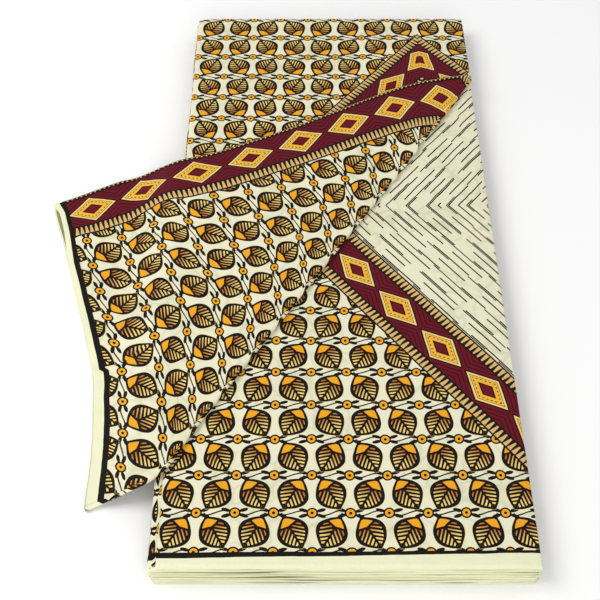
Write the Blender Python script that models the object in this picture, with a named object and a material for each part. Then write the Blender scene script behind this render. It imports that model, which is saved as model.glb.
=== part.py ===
"""A long length of printed cotton folded into a flat stack, with a corner of its top layer turned over.

Metres, +Z up. The stack rests on z = 0 with its length along Y and its selvedge end towards -Y.
Each stretch of cloth that shows is an object of its own:
folded_stack    the hidden layers as one rounded solid, layered at its edges
under_panel     the layer that shows at the lower right
upper_panel     the layer that shows at the upper left, over the under panel
turned_corner   the corner of the top layer, folded back over itself and draped off the stack's left side
"""

import math
import random

import bmesh
import bpy
from mathutils import Vector

# Sizes, in metres
CLOTH = 0.0014            # wall of one modelled layer
GAP = 0.0003              # space between layers that lie on each other
STACK_TOP = 0.0186        # height of the hidden layers
RIDGES = 7                # bundles of folds that show round the stack
LEFT = -0.1368            # mean outline of the hidden layers
RIGHT = 0.1285
NEAR = -0.2882
FAR = 0.2885
CORNER = 0.0070           # rounding of the stack's corners, seen from above
GROOVE = 0.0013           # depth of the groove between two bundles
UNEVEN = 0.0012           # how far one bundle lies in or out of the next
WOBBLE = 0.0005           # slow waviness along an edge

UNDER_LEFT = -0.1312
UNDER_RIGHT = 0.1318
UNDER_NEAR = -0.2874
UNDER_FAR = 0.2915
ROLL = 0.0016             # bend radius of the under panel's rolled edges, at mid wall
ROLL_DEPTH = 0.0016       # how far a rolled edge hangs straight down after its bend

UPPER_LEFT = -0.1350
UPPER_RIGHT = 0.1322
UPPER_FAR = 0.2905

DOUBLE = 0.0027           # wall of the turned corner, which holds two layers
NOSE = 0.0021             # half width of the diagonal fold, seen from above
LIP = 0.0085              # width of the fold's lower lip, beside the upper panel
LIP_DROP = CLOTH + GAP + 0.0001    # the lip's depth below the corner's own underside
BULGE = 0.0012            # rounding of the soft fold along the corner's upper edge
CREST = -0.1385           # where the corner leaves the stack's top
FOOT = -0.1880            # where it reaches the surface that the stack lies on
ROWS = 31                 # sections across the turned corner
STEPS = 23                # points along each section
SELVEDGE_LIP = 0.0028     # how far the lower layer's selvedge stands out beyond the upper's

# Key points of the turned corner's outline, from above
FOLD_LINE = [(-0.1880, -0.2372), (-0.1753, -0.2325), (-0.1578, -0.2292), (-0.1420, -0.2247), (-0.1320, -0.2165),
             (-0.1245, -0.2070), (-0.1077, -0.1775), (-0.0469, -0.0835), (0.0176, 0.0172), (0.0676, 0.0948),
             (0.0787, 0.1147), (0.0996, 0.1448), (0.1248, 0.1871), (0.1300, 0.1930)]
UPPER_EDGE = [(-0.2540, 0.0562), (-0.2319, 0.0670), (-0.2063, 0.0805), (-0.1906, 0.0870), (-0.1728, 0.0897),
              (-0.1500, 0.0887), (-0.1348, 0.0922), (-0.1037, 0.1021), (-0.0330, 0.1355), (0.0392, 0.1746),
              (0.0774, 0.1918), (0.1145, 0.2015), (0.1330, 0.2045)]
SELVEDGE = [(-0.1880, -0.2372), (-0.1893, -0.1900), (-0.1935, -0.1480), (-0.1975, -0.1200),
            (-0.2110, -0.0760), (-0.2325, -0.0098), (-0.2455, 0.0300), (-0.2540, 0.0560)]

UNDER_TOP = STACK_TOP + GAP + CLOTH
UPPER_TOP = UNDER_TOP + GAP + CLOTH
REST_LEVEL = UPPER_TOP + GAP + 0.0001

rng = random.Random(11)


def clear_scene():
    """Removes every object that the new file starts with."""
    for item in list(bpy.data.objects):
        bpy.data.objects.remove(item, do_unlink=True)


def material(name, colour, roughness):
    """Returns a plain fabric material."""
    made = bpy.data.materials.new(name)
    made.use_nodes = True
    shader = made.node_tree.nodes["Principled BSDF"]
    shader.inputs["Base Color"].default_value = (*colour, 1.0)
    shader.inputs["Roughness"].default_value = roughness
    return made


def solid(name, points, faces, made):
    """Makes one closed object, with its faces turned outwards."""
    mesh = bpy.data.meshes.new(name)
    mesh.from_pydata([tuple(p) for p in points], [], faces)
    work = bmesh.new()
    work.from_mesh(mesh)
    bmesh.ops.recalc_face_normals(work, faces=work.faces)
    work.to_mesh(mesh)
    work.free()
    mesh.materials.append(made)
    item = bpy.data.objects.new(name, mesh)
    bpy.context.scene.collection.objects.link(item)
    return item


def loft(name, loops, made):
    """Joins closed loops of equal length in order, and closes both ends."""
    count = len(loops[0])
    points = [p for loop in loops for p in loop]
    faces = [tuple(reversed(range(count)))]
    for k in range(len(loops) - 1):
        for i in range(count):
            j = (i + 1) % count
            faces.append((k * count + i, k * count + j, (k + 1) * count + j, (k + 1) * count + i))
    last = (len(loops) - 1) * count
    faces.append(tuple(range(last, last + count)))
    return solid(name, points, faces, made)


def smooth(t):
    """Eases from 0 to 1."""
    t = min(1.0, max(0.0, t))
    return t * t * (3.0 - 2.0 * t)


def rounded_outline(left, right, near, far, radius, across, along, arc):
    """Points and outward normals round a rectangle with rounded corners, from its near left corner."""
    found = []
    sides = [
        ((left + radius, near), (right - radius, near), (0.0, -1.0), across),
        ((right, near + radius), (right, far - radius), (1.0, 0.0), along),
        ((right - radius, far), (left + radius, far), (0.0, 1.0), across),
        ((left, far - radius), (left, near + radius), (-1.0, 0.0), along),
    ]
    centres = [(right - radius, near + radius), (right - radius, far - radius),
               (left + radius, far - radius), (left + radius, near + radius)]
    for side, (start, end, normal, steps) in enumerate(sides):
        for k in range(steps + 1):
            t = k / steps
            point = Vector(start).lerp(Vector(end), t)
            found.append((point, Vector(normal)))
        first = math.radians(-90 + 90 * side)
        for k in range(1, arc):
            angle = first + math.radians(90) * k / arc
            normal = Vector((math.cos(angle), math.sin(angle)))
            found.append((Vector(centres[side]) + normal * radius, normal))
    return found


def stack_loop(edges, inset, z, phases, wobble=WOBBLE):
    """One loop round the hidden layers, gently wavy."""
    left, right, near, far = edges
    loop = []
    outline = rounded_outline(left + inset, right - inset, near + inset, far - inset, CORNER, 9, 15, 3)
    for point, normal in outline:
        run = point.x * 31.0 + point.y * 23.0
        out = wobble * (math.sin(run + phases[0]) + 0.6 * math.sin(2.3 * run + phases[1]))
        place = point + normal * out
        loop.append(Vector((place.x, place.y, z)))
    return loop


def make_stack(made):
    """The hidden layers: bundles of folds, each a rounded ridge round the stack."""
    height = STACK_TOP / RIDGES
    edges = []
    phases = []
    for k in range(RIDGES):
        low = 1.0 if k < RIDGES - 2 else 0.35
        edges.append((
            LEFT - UNEVEN * rng.uniform(-0.3, 1.0) * low,
            RIGHT + UNEVEN * rng.uniform(-0.8, 0.7),
            NEAR + UNEVEN * rng.uniform(-0.9, 0.9),
            FAR + UNEVEN * rng.uniform(-0.9, 0.9),
        ))
        phases.append((rng.uniform(0.0, 6.3), rng.uniform(0.0, 6.3)))
    cover = CLOTH + GAP + 0.0001
    edges[-1] = (UNDER_LEFT + cover, UNDER_RIGHT - cover, UNDER_NEAR + 0.0006, UNDER_FAR - cover)
    loops = [stack_loop(edges[0], GROOVE * 0.5, 0.0, phases[0])]
    for k in range(RIDGES):
        z = k * height
        wobble = WOBBLE if k < RIDGES - 1 else 0.0
        loops.append(stack_loop(edges[k], 0.0, z + 0.28 * height, phases[k], wobble))
        loops.append(stack_loop(edges[k], 0.0, z + 0.72 * height, phases[k], wobble))
        above = edges[min(k + 1, RIDGES - 1)]
        inner = (max(edges[k][0], above[0]), min(edges[k][1], above[1]),
                 max(edges[k][2], above[2]), min(edges[k][3], above[3]))
        depth = GROOVE if k < RIDGES - 1 else 0.0010
        loops.append(stack_loop(inner, depth, z + height, phases[k], wobble))
    return loft("folded_stack", loops, made)


def curled(run, curl, near):
    """Outward run and drop of the under panel's mid wall after this length past its flat part, with the wall's slope."""
    angle = min(run / ROLL, math.pi / 2)
    straight = max(0.0, run - ROLL * math.pi / 2)
    plain = near * run + (1.0 - near) * ROLL * min(1.0, run / (ROLL * math.pi / 2 + ROLL_DEPTH))
    out = (1.0 - curl) * plain + curl * ROLL * math.sin(angle)
    drop = curl * (ROLL * (1.0 - math.cos(angle)) + straight)
    lean = Vector((curl * math.sin(angle), 1.0 - curl + curl * math.cos(angle))).normalized()
    return out, drop, lean


def make_under_panel(made):
    """A wall over the whole stack, rolled down at its left, far and right edges and cut straight at its selvedge."""
    bend = ROLL * math.pi / 2
    reach = bend + ROLL_DEPTH
    half = CLOTH / 2
    outline = rounded_outline(
        UNDER_LEFT + ROLL + half, UNDER_RIGHT - ROLL - half,
        UNDER_NEAR + reach, UNDER_FAR - ROLL - half, 0.0035, 12, 18, 4)
    level = UNDER_TOP - half
    runs = [0.0, bend / 3, 2 * bend / 3, bend, reach]

    def ring(run, side):
        loop = []
        for point, normal in outline:
            near = smooth((-normal.y - 0.55) / 0.4)
            close = smooth((point.y - (UNDER_NEAR + reach)) / 0.012)
            curl = min(1.0 - near, close) if point.y < UNDER_NEAR + 0.03 else 1.0
            out, drop, lean = curled(run, curl, near)
            place = point + normal * (out + side * half * lean.x)
            loop.append(Vector((place.x, place.y, level - drop + side * half * lean.y)))
        return loop

    loops = [ring(run, -1.0) for run in runs]
    loops += [ring(run, 1.0) for run in reversed(runs)]
    return loft("under_panel", loops, made)


class Curve:
    """A smooth line through key points, read at a share of its length."""

    def __init__(self, keys, fine=16):
        keys = [Vector(k) for k in keys]
        ends = [keys[0] * 2 - keys[1]] + keys + [keys[-1] * 2 - keys[-2]]
        self.points = []
        for i in range(1, len(ends) - 2):
            a, b, c, d = ends[i - 1:i + 3]
            for k in range(fine):
                t = k / fine
                self.points.append(0.5 * ((2 * b) + (c - a) * t + (2 * a - 5 * b + 4 * c - d) * t * t
                                          + (3 * b - a - 3 * c + d) * t ** 3))
        self.points.append(keys[-1])
        self.lengths = [0.0]
        for p, q in zip(self.points, self.points[1:]):
            self.lengths.append(self.lengths[-1] + (q - p).length)

    def at(self, share):
        """The point at this share of the length, and the line's direction there."""
        wanted = min(1.0, max(0.0, share)) * self.lengths[-1]
        i = 0
        while i < len(self.points) - 2 and self.lengths[i + 1] < wanted:
            i += 1
        span = self.lengths[i + 1] - self.lengths[i]
        t = (wanted - self.lengths[i]) / span
        p, q = self.points[i], self.points[i + 1]
        return p.lerp(q, t), (q - p).normalized()


fold = Curve(FOLD_LINE)
upper = Curve(UPPER_EDGE)
selvedge = Curve(SELVEDGE)


def inward(line, share, distance, turn):
    """A point beside a line, on the corner's side of it."""
    point, way = line.at(share)
    return point + Vector((-way.y, way.x)) * turn * distance


def lip_width(share):
    """The lower lip narrows towards both ends of the fold."""
    return NOSE + 0.0004 + (LIP - NOSE) * smooth(share / 0.16) * smooth((1.0 - share) / 0.10)


def patch(u, v, fold_inset):
    """A point of the corner from above: u runs from the diagonal fold to the upper edge, v from the selvedge to the tip."""
    start = inward(fold, v, fold_inset(v), 1.0)
    end = inward(upper, v, BULGE, -1.0)
    low_0 = inward(fold, 0.0, fold_inset(0.0), 1.0)
    low_1 = inward(upper, 0.0, BULGE, -1.0)
    high_0 = inward(fold, 1.0, fold_inset(1.0), 1.0)
    high_1 = inward(upper, 1.0, BULGE, -1.0)
    side = selvedge.at(u)[0]
    side = side + (low_0 - selvedge.at(0.0)[0]) * (1 - u) + (low_1 - selvedge.at(1.0)[0]) * u
    tip = high_0.lerp(high_1, u)
    ruled = side * (1 - v) + tip * v + start * (1 - u) + end * u
    corners = (low_0 * (1 - u) + low_1 * u) * (1 - v) + (high_0 * (1 - u) + high_1 * u) * v
    return ruled - corners


def bump(x, y, centre, way, length, width, height):
    """One soft ridge of cloth, longest along its way."""
    dx, dy = x - centre[0], y - centre[1]
    along = (dx * math.cos(way) + dy * math.sin(way)) / length
    across = (-dx * math.sin(way) + dy * math.cos(way)) / width
    return height * math.exp(-along * along - across * across)


def rest_height(x, y):
    """Height of the turned corner's underside."""
    on_stack = smooth((x - FOOT) / (CREST - FOOT))
    z = REST_LEVEL * on_stack
    z += bump(x, y, FOLD_LINE[0], 0.0, 0.030, 0.026, LIP_DROP + 0.0002) * (1.0 - on_stack)
    z += bump(x, y, (-0.178, -0.085), math.radians(22), 0.042, 0.012, 0.0034)
    z += bump(x, y, (-0.060, -0.060), math.radians(58), 0.055, 0.020, 0.0011) * on_stack
    z += bump(x, y, (0.060, 0.115), math.radians(60), 0.040, 0.016, 0.0013) * on_stack
    z += bump(x, y, (-0.080, 0.060), math.radians(24), 0.060, 0.024, 0.0009) * on_stack
    return z


def make_turned_corner(made):
    """The doubled corner: closed sections across it, from its selvedge to its tip."""
    points = []
    faces = []

    def add(x, y, z):
        points.append(Vector((x, y, z)))
        return len(points) - 1

    def strip(a, b):
        for i in range(len(a) - 1):
            faces.append((a[i], a[i + 1], b[i + 1], b[i]))

    tops, bottoms, noses, bulges = [], [], [], []
    for row in range(ROWS):
        v = row / (ROWS - 1)
        top, bottom = [], []
        for k in range(STEPS):
            u = k / (STEPS - 1)
            p = patch(u, v, lambda share: NOSE)
            top.append(add(p.x, p.y, rest_height(p.x, p.y) + DOUBLE))
            p = patch(u, v, lip_width)
            bottom.append(add(p.x, p.y, rest_height(p.x, p.y)))
        edge, way = fold.at(v)
        side = Vector((-way.y, way.x))
        base = edge + side * NOSE
        low = rest_height(base.x, base.y) - LIP_DROP
        high = rest_height(base.x, base.y) + DOUBLE
        middle, half = (low + high) / 2, (high - low) / 2
        nose = []
        for k in range(1, 7):
            angle = math.pi / 2 - math.pi * k / 6
            p = edge + side * NOSE * (1 - math.cos(angle))
            nose.append(add(p.x, p.y, middle + half * math.sin(angle)))
        back = edge + side * lip_width(v)
        nose.append(add(back.x, back.y, rest_height(back.x, back.y) - LIP_DROP))
        end, way = upper.at(v)
        side = Vector((way.y, -way.x))
        bulge = []
        inner = end + side * BULGE
        level = rest_height(inner.x, inner.y)
        for k in range(1, 4):
            angle = math.pi / 2 - math.pi * k / 4
            p = end + side * BULGE * (1 - math.cos(angle))
            bulge.append(add(p.x, p.y, level + DOUBLE / 2 + DOUBLE / 2 * math.sin(angle)))
        tops.append(top)
        bottoms.append(bottom)
        noses.append([top[0]] + nose + [bottom[0]])
        bulges.append([top[-1]] + bulge + [bottom[-1]])
    for a, b in zip(range(ROWS - 1), range(1, ROWS)):
        for group in (tops, bottoms, noses, bulges):
            strip(group[a], group[b])

    # The selvedge side shows its two layers, with a groove between them
    rows = [tops[0]]
    for drop, out in ((0.44, 0.0), (0.50, -0.0011), (0.56, 1.0)):
        line = []
        for k in range(STEPS):
            u = k / (STEPS - 1)
            way = selvedge.at(u)[1]
            outward = Vector((-way.y, way.x))
            a, b = points[tops[0][k]], points[bottoms[0][k]]
            p = a.lerp(b, drop)
            fade = smooth(u / 0.12) * smooth((1 - u) / 0.08)
            far = out if out <= 0 else SELVEDGE_LIP * smooth((u - 0.55) / 0.3)
            shift = outward * far * fade
            line.append(add(p.x + shift.x, p.y + shift.y, p.z))
        rows.append(line)
    for k in range(1, STEPS - 1):
        u = k / (STEPS - 1)
        way = selvedge.at(u)[1]
        shift = Vector((-way.y, way.x)) * SELVEDGE_LIP * smooth((u - 0.55) / 0.3) * smooth((1 - u) / 0.08)
        points[bottoms[0][k]] += Vector((shift.x, shift.y, 0.0))
    rows.append(bottoms[0])
    for a, b in zip(rows, rows[1:]):
        strip(a, b)
    faces.append(tuple(noses[0] + [row[0] for row in reversed(rows[1:-1])]))
    faces.append(tuple(bulges[0] + [row[-1] for row in reversed(rows[1:-1])]))

    # The blunt tip
    strip(tops[-1], bottoms[-1])
    faces.append(tuple(noses[-1]))
    faces.append(tuple(bulges[-1]))
    return solid("turned_corner", points, faces, made)


def make_upper_panel(made):
    """A wall over the stack's far left part, up to the diagonal fold's lip."""
    fold_side = []
    for k in range(25):
        share = 0.125 + (0.955 - 0.125) * k / 24
        point = inward(fold, share, lip_width(share) + 2.4 * GAP, 1.0)
        if UPPER_LEFT + 0.002 < point.x < UPPER_RIGHT - 0.004:
            fold_side.append(point)
    near_left = Vector((UPPER_LEFT, fold_side[0].y + 0.004))
    radius = 0.0035
    outline = list(fold_side)
    outline.append(Vector((UPPER_RIGHT - 0.0082, 0.1935)))
    outline.append(Vector((UPPER_RIGHT, 0.2005)))
    for k in range(7):
        outline.append(Vector((UPPER_RIGHT, 0.2130 + (UPPER_FAR - radius - 0.2130) * k / 6)))
    for k in range(1, 3):
        angle = math.radians(30 * k)
        outline.append(Vector((UPPER_RIGHT - radius * (1 - math.cos(angle)),
                               UPPER_FAR - radius * (1 - math.sin(angle)))))
    for k in range(11):
        outline.append(Vector((UPPER_RIGHT - radius - (UPPER_RIGHT - UPPER_LEFT - 2 * radius) * k / 10, UPPER_FAR)))
    for k in range(1, 3):
        angle = math.radians(90 + 30 * k)
        outline.append(Vector((UPPER_LEFT + radius * (1 + math.cos(angle)),
                               UPPER_FAR - radius * (1 - math.sin(angle)))))
    for k in range(13):
        outline.append(Vector((UPPER_LEFT, UPPER_FAR - radius + (near_left.y - UPPER_FAR + radius) * k / 12)))
    count = len(outline)

    def ring(inset, z):
        loop = []
        for i, point in enumerate(outline):
            way = (outline[(i + 1) % count] - outline[i - 1]).normalized()
            place = point + Vector((-way.y, way.x)) * inset
            loop.append(Vector((place.x, place.y, z)))
        return loop

    low = UNDER_TOP + GAP
    loops = [ring(0.0007, low), ring(0.0001, low + 0.3 * CLOTH), ring(0.0001, low + 0.7 * CLOTH),
             ring(0.0007, low + CLOTH)]
    return loft("upper_panel", loops, made)


clear_scene()
make_stack(material("stack_cloth", (0.80, 0.76, 0.60), 0.85))
make_under_panel(material("under_cloth", (0.86, 0.84, 0.70), 0.80))
make_upper_panel(material("upper_cloth", (0.84, 0.80, 0.62), 0.80))
make_turned_corner(material("corner_cloth", (0.88, 0.74, 0.42), 0.80))
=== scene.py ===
# %% [markdown]
# # A folded length of printed cotton
#
# The model is a long cotton cloth, folded into a flat stack, with the near
# corner of its top layer turned over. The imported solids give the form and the
# place of each layer. This script dresses them with thin cloth and with a
# print made from nodes.

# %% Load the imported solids
import math
import random

import bpy
import numpy as np
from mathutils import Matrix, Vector


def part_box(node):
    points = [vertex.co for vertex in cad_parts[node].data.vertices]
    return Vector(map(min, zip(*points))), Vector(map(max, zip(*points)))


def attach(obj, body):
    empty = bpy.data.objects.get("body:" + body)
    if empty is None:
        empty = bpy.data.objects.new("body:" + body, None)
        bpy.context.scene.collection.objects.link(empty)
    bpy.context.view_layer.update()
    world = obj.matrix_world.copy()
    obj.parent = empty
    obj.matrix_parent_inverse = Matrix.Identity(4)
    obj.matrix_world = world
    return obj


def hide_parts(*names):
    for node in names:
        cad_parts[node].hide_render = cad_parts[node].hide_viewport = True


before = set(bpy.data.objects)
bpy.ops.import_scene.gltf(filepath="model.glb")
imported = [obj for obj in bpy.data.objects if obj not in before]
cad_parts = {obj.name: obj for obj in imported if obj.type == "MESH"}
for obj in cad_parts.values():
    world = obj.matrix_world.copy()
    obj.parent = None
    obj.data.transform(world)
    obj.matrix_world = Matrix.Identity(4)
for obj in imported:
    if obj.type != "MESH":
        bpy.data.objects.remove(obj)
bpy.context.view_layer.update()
for part in ("folded_stack", "under_panel", "upper_panel", "turned_corner"):
    low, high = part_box(part)
    print(part, [round(v * 1000) for v in low], [round(v * 1000) for v in high])

# %% [markdown]
# The camera comes first, because everything is judged through it. It looks
# down at the cloth from its selvedge end. A long lens gives the slight
# narrowing of the stack towards its far end, where a wide one would give too
# much and a parallel view none.

# %% Camera
VIEW_DOWN = math.radians(54.1)
EYE = (-0.033, -0.527, 0.6623)
LENS_MM, SENSOR_MM = 58.6, 36.0
scene = bpy.context.scene

lens = bpy.data.cameras.new("camera")
lens.sensor_width = SENSOR_MM
lens.lens = LENS_MM
camera = bpy.data.objects.new("camera", lens)
camera.location = EYE
camera.rotation_euler = (math.radians(90) - VIEW_DOWN, 0.0, 0.0)
scene.collection.objects.link(camera)
scene.camera = camera
print("camera looks down", round(math.degrees(VIEW_DOWN), 1), "degrees, lens", LENS_MM, "mm")

# %% [markdown]
# Product pictures of cloth are lit softly from all round. A broad pale world
# does most of the work here. A small light from the left gives a soft shadow
# beside the diagonal fold, a wide low one in front reaches the cut edges at
# the near end, and a weak one keeps the right side from going grey. The
# colours are shown as they are, with no film-like curve.

# %% Light
WORLD_POWER = 0.59
LIGHTS = (("key", (-0.95, 0.0, 1.2), 0.8, 10.5),
          ("front", (0.1, -2.4, 0.72), 2.0, 34.0),
          ("fill", (0.9, 0.7, 1.3), 1.4, 2.5))
MIDDLE = Vector((0.0, 0.0, 0.0))

scene.view_settings.view_transform = "Standard"
scene.view_settings.exposure = 0.0
world = bpy.data.worlds.new("studio")
scene.world = world
world.use_nodes = True
sky = world.node_tree.nodes["Background"]
sky.inputs["Color"].default_value = (1.0, 1.0, 1.0, 1.0)
sky.inputs["Strength"].default_value = WORLD_POWER

for name, place, size, power in LIGHTS:
    light = bpy.data.lights.new(name, "AREA")
    light.size = size
    light.energy = power
    lamp = bpy.data.objects.new(name, light)
    lamp.location = place
    lamp.rotation_euler = (MIDDLE - Vector(place)).to_track_quat("-Z", "Y").to_euler()
    scene.collection.objects.link(lamp)
    print("light", name, power, "W,", size, "m wide")

# %% [markdown]
# The cloth lies on a plain white surface. A plane is enough, because it is
# only a backdrop and not part of the object.

# %% Floor
FLOOR_SIZE, FLOOR_DROP = 6.0, 0.0004
FLOOR_WHITE, FLOOR_ROUGH = (0.93, 0.93, 0.93, 1.0), 0.9

for item in bpy.context.selected_objects:
    item.select_set(False)
bpy.ops.mesh.primitive_plane_add(size=FLOOR_SIZE, location=(0.0, 0.0, -FLOOR_DROP))
floor = bpy.context.active_object
floor.name = "floor"
floor_paint = bpy.data.materials.new("floor")
floor_paint.use_nodes = True
floor_shader = floor_paint.node_tree.nodes["Principled BSDF"]
floor_shader.inputs["Base Color"].default_value = FLOOR_WHITE
floor_shader.inputs["Roughness"].default_value = FLOOR_ROUGH
floor.data.materials.append(floor_paint)
print("floor", FLOOR_SIZE, "m wide")

# %% [markdown]
# The print is one large drawing made of simple shapes. It could be a picture
# laid on the cloth, but shapes that are worked out from numbers stay sharp
# from near and far. A small class lets a node's socket be used in a Python
# expression: adding two of them adds a Math node.

# %% A socket that can be used in sums


class Value:
    """A node's socket that adds Math nodes when it is used in an expression."""

    def __init__(self, board, socket):
        self.board = board
        self.socket = socket

    def math(self, operation, *others):
        """One Math node with this value as its first input."""
        return self.board.node("ShaderNodeMath", {"operation": operation}, self, *others)

    def __add__(self, other):
        return self.math("ADD", other)

    __radd__ = __add__

    def __sub__(self, other):
        return self.math("SUBTRACT", other)

    def __rsub__(self, other):
        return self.board.node("ShaderNodeMath", {"operation": "SUBTRACT"}, other, self)

    def __mul__(self, other):
        return self.math("MULTIPLY", other)

    __rmul__ = __mul__

    def __truediv__(self, other):
        return self.math("DIVIDE", other)

    def __abs__(self):
        return self.math("ABSOLUTE")

    def __lt__(self, other):
        return self.math("LESS_THAN", other)

    def __gt__(self, other):
        return self.math("GREATER_THAN", other)

    def high(self, other):
        """The larger of two values, which joins two masks."""
        return self.math("MAXIMUM", other)

    def floor(self):
        return self.math("FLOOR")

    def part(self):
        """What is left after the whole number, from 0 to 1."""
        return self.math("FRACT")

    def soft(self, start, end):
        """0 at start, 1 at end, eased between."""
        return self.board.node(
            "ShaderNodeMapRange", {"interpolation_type": "SMOOTHSTEP"},
            self, start, end, 0.0, 1.0)


print("sums and comparisons of sockets add Math nodes")

# %% [markdown]
# Each material gets a board that adds its nodes. One method makes any kind of
# node: it takes the type, the settings, and what goes into the sockets.

# %% The nodes of one material


class Board:
    """The nodes of one material."""

    def __init__(self, name):
        self.material = bpy.data.materials.new(name)
        self.material.use_nodes = True
        self.tree = self.material.node_tree
        self.shader = self.tree.nodes["Principled BSDF"]

    def fill(self, node, key, value):
        """Links a value to one socket of a node, or sets a plain number there."""
        if isinstance(value, Value):
            self.tree.links.new(value.socket, node.inputs[key])
        else:
            node.inputs[key].default_value = value

    def node(self, kind, settings, *values, output=0, **named):
        """Adds a node, sets its settings, then fills its sockets in order or by name."""
        made = self.tree.nodes.new(kind)
        for key, value in settings.items():
            setattr(made, key, value)
        for key, value in list(enumerate(values)) + list(named.items()):
            self.fill(made, key, value)
        return Value(self, made.outputs[output])

    def mix(self, share, first, second):
        """Blends two colours."""
        made = self.tree.nodes.new("ShaderNodeMix")
        made.data_type = "RGBA"
        for key, value in ((0, share), (6, first), (7, second)):
            self.fill(made, key, value)
        return Value(self, made.outputs[2])

    def feed(self, name, value):
        """Fills one socket of the material's shader."""
        self.fill(self.shader, name, value)


print("a board adds nodes to a material")

# %% [markdown]
# A wax print has few inks: cream cloth, black and brown outlines, amber, rust
# and gold in the small figures, and maroon in the bands. They are written as
# the eye reads them on a screen, and made linear, because shaders count in
# linear light.

# %% Colours


def ink(code):
    """A colour as the eye reads it, from six hexadecimal figures, made linear."""
    parts = [int(code[i:i + 2], 16) / 255.0 for i in (0, 2, 4)]
    linear = [v / 12.92 if v <= 0.04045 else ((v + 0.055) / 1.055) ** 2.4 for v in parts]
    return (*linear, 1.0)


CREAM = ink("E2DEC1")
VEIN = ink("C2C3A3")
SHADE = ink("D2D2B0")
SELVEDGE_CREAM = ink("E3E4C0")
# Painted shade: the colour of the shade at the cut edges and between layers.
PAINTED_EDGE_SHADE = ink("8E8F6B")
BLACK = ink("15110E")
AMBER = ink("E6A021")
RUST = ink("B8691A")
PALE = ink("EACB6A")
MAROON = ink("630F20")
DARK_MAROON = ink("37080F")
GOLD = ink("E6AE38")
PALE_GOLD = ink("EACB77")
TAN = ink("CFAE70")
DARK_BROWN = ink("21150C")
print("cream in linear light", [round(v, 3) for v in CREAM[:3]])

# %% [markdown]
# The ground is cream cotton with a fine crackle and soft clouds, which the
# cracked wax leaves in the dye. Cells with bent borders give the crackle, and
# noise lets it fade in and out.

# %% The cream ground
CRACK_SCALE, CRACK_WIDE = 62.0, 0.16
WARP_SCALE, WARP = 30.0, (0.035, 0.035, 0.0)
CLOUD_SCALE = 24.0
VEIN_FROM, VEIN_TO, VEIN_SHARE = 0.35, 0.62, 0.65
SHADE_FROM, SHADE_TO, SHADE_SHARE = 0.46, 0.72, 0.40


def noise(board, place, scale, detail=2.0, output=0):
    """Cloudy noise on the cloth's map."""
    return board.node("ShaderNodeTexNoise", {"noise_dimensions": "2D"},
                      output=output, Vector=place, Scale=scale, Detail=detail)


def cream_ground(board, uv):
    """Cream cotton with fine crackle and soft clouds."""
    warp = noise(board, uv, WARP_SCALE, detail=3.0, output=1)
    bent = board.node("ShaderNodeVectorMath", {"operation": "MULTIPLY_ADD"}, warp, WARP, uv)
    crack = board.node("ShaderNodeTexVoronoi",
                       {"feature": "DISTANCE_TO_EDGE", "voronoi_dimensions": "2D"},
                       Vector=bent, Scale=CRACK_SCALE)
    vein = 1.0 - crack.soft(0.0, CRACK_WIDE)
    cloud = noise(board, uv, CLOUD_SCALE, detail=4.0)
    colour = board.mix(vein * cloud.soft(VEIN_FROM, VEIN_TO) * VEIN_SHARE, CREAM, VEIN)
    return board.mix(cloud.soft(SHADE_FROM, SHADE_TO) * SHADE_SHARE, colour, SHADE)


print("crackle cells", round(1000 / CRACK_SCALE), "mm wide")

# %% [markdown]
# The print carries a large figure and a small repeat. The small one is a
# plain grid of leaves, with a thin vine between the rows and a berry with
# four leaflets in each cell. Every place is measured from the middle of its
# own cell, so one drawing fills the whole ground.

# %% Vine and berries
LEAF_U, LEAF_V = 0.0271, 0.0289
VINE_SWAY, VINE_HALF = 0.0017, 0.00055
BERRY_RIM, BERRY, BERRY_EYE = 0.0041, 0.0029, 0.0011
LEAFLET_OUT, LEAFLET_UP = 0.0062, 0.0021
LEAFLET_LONG, LEAFLET_WIDE = 0.0029, 0.0014
LEAFLET_LEAN = -0.0000042


def from_middle(value, size, shift=0.0):
    """How far a place is from the middle of its cell, where cells of this size repeat."""
    return ((value / size + shift).part() - 0.5) * size


def vine(board, u, v, ground):
    """A thin vine between the leaf rows, with a berry and four leaflets in each cell."""
    x, y = from_middle(u, LEAF_U, 0.5), from_middle(v, LEAF_V, 0.5)
    sway = (u * (2.0 * math.pi / LEAF_U)).math("SINE") * VINE_SWAY
    line = abs(y - sway) < VINE_HALF
    away = (x * x + y * y).math("SQRT")
    side, rise = abs(x) - LEAFLET_OUT, abs(y) - LEAFLET_UP
    leaflet = (side * side / LEAFLET_LONG ** 2 + rise * rise / LEAFLET_WIDE ** 2
               + side * rise / LEAFLET_LEAN)
    colour = board.mix(line.high(leaflet < 1.0), ground, BLACK)
    colour = board.mix((away < BERRY_RIM) * (away > BERRY), colour, BLACK)
    colour = board.mix(away < BERRY, colour, AMBER)
    return board.mix(away < BERRY_EYE, colour, BLACK)


print("small repeat", round(LEAF_U * 1000, 1), "by", round(LEAF_V * 1000, 1), "mm")

# %% [markdown]
# Each leaf is the space between two arcs, and leans the other way from its
# neighbours. Its ribs are a sawtooth pattern that gets finer towards the tip,
# its stem end is a plain amber cap, and a pale glow surrounds its tip, as
# where a second dye has spread.

# %% Leaves
LEAF_LONG, LEAF_WIDE, LEAF_LINE = 0.0128, 0.0100, 0.0014
LEAF_LEAN = math.radians(31)
RIB, RIB_LEAN, MIDRIB = 0.0034, 0.85, 0.00085
RIB_GAP, TIP_GAP = 0.34, 0.18
TIP_FROM, TIP_TO = -0.002, 0.0115
TONE_HALF = 0.006
CAP_LEAN, CAP_END, CAP_LINE, CAP_LINE_HALF = 0.25, -0.0048, -0.0044, 0.0009
STEM_HALF, STEM_IN, STEM_OUT = 0.0011, 0.0015, 0.0036
GLOW_IN, GLOW_OUT, GLOW_FROM, GLOW_SHARE = 0.0004, 0.0030, 0.001, 0.9


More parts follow.
